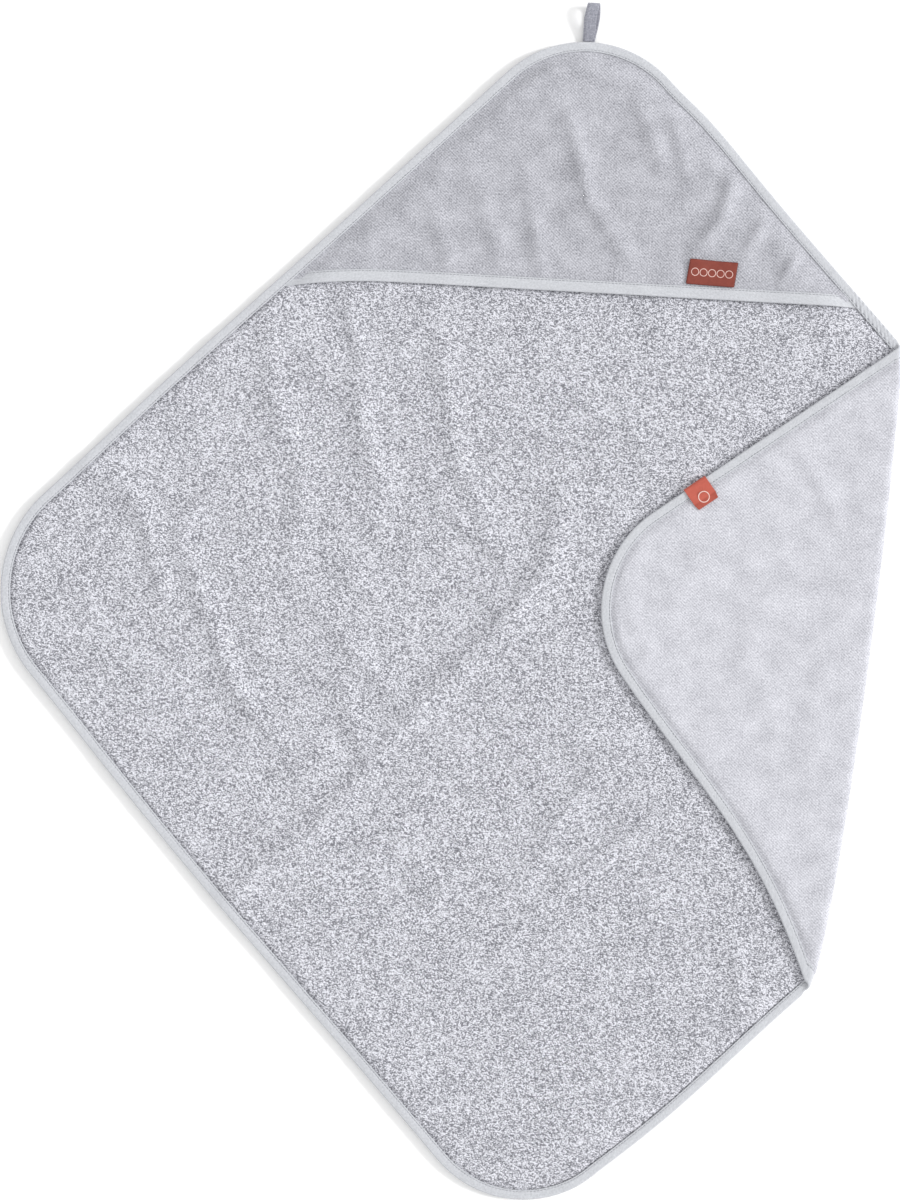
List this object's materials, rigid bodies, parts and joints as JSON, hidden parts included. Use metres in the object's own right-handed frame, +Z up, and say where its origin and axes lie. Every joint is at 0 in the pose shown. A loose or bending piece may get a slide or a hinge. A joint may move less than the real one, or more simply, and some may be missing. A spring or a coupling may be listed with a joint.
{
  "type": "hooded baby towel",
  "caption": "Square terry baby towel with a smooth back, pocket hood, bound edges, hanging loop, leather label and edge tab, lying flat with one corner folded over.",
  "frame": {"origin": "bottom centre of the whole towel's box, on the surface that it lies on", "axes": "+Y from the bottom corner to the hood's apex and the hanging loop, +X to the folded corner's side, +Z up"},
  "size_m": [0.7588, 1.0264, 0.0119],
  "materials": {
    "terry_cloth": "pale blue-grey terry loops with darker and lighter flecks",
    "smooth_cloth": "smooth fine diagonal rib, light blue-grey",
    "binding_tape": "smooth bias-cut tape, pale grey",
    "loop_tape": "folded woven tape, mid grey",
    "sewing_thread": "fine twisted polyester thread, grey",
    "label_leather": "rust-brown matt leather",
    "tab_leather": "orange-rust matt leather"
  },
  "bodies": {
    "towel": {"towel_panel": "terry_cloth", "edge_binding": "binding_tape", "edge_needle_thread": "sewing_thread", "edge_bobbin_thread": "sewing_thread", "corner_fold": "smooth_cloth", "fold_binding_upper": "binding_tape", "fold_binding_lower": "binding_tape", "loop_tail": "loop_tape"},
    "flap": {"corner_flap": "smooth_cloth", "flap_binding": "binding_tape", "flap_needle_thread": "sewing_thread", "flap_bobbin_thread": "sewing_thread", "edge_tab": "tab_leather"},
    "hood": {"hood_panel": "smooth_cloth", "hood_hem_binding": "binding_tape", "hem_needle_thread": "sewing_thread", "hem_bobbin_thread": "sewing_thread"},
    "label": {"hood_label": "label_leather"},
    "loop": {"hanging_loop": "loop_tape", "loop_thread": "sewing_thread"}
  },
  "joints": [
    {"name": "corner_unfold", "type": "hinge", "parent": "towel", "child": "flap", "pos_m": [0.35819, -0.04307, 0.0053], "axis": [0.089, 0.996, 0], "range_deg": [0, 180], "deforming": ["corner_fold", "fold_binding_upper", "fold_binding_lower"]},
    {"name": "hood_open", "type": "hinge", "parent": "towel", "child": "hood", "pos_m": [0.09767, 0.47034, 0.0074], "axis": [-1, 0, 0], "range_deg": [0, 20]},
    {"name": "label_flip", "type": "hinge", "parent": "hood", "child": "label", "pos_m": [0.21218, 0.27645, 0.0089], "axis": [0.9997, -0.0262, 0], "range_deg": [0, 150]},
    {"name": "loop_swing", "type": "hinge", "parent": "towel", "child": "loop", "pos_m": [0.09767, 0.48064, 0.0008], "axis": [1, 0, 0], "range_deg": [-90, 60]}
  ]
}
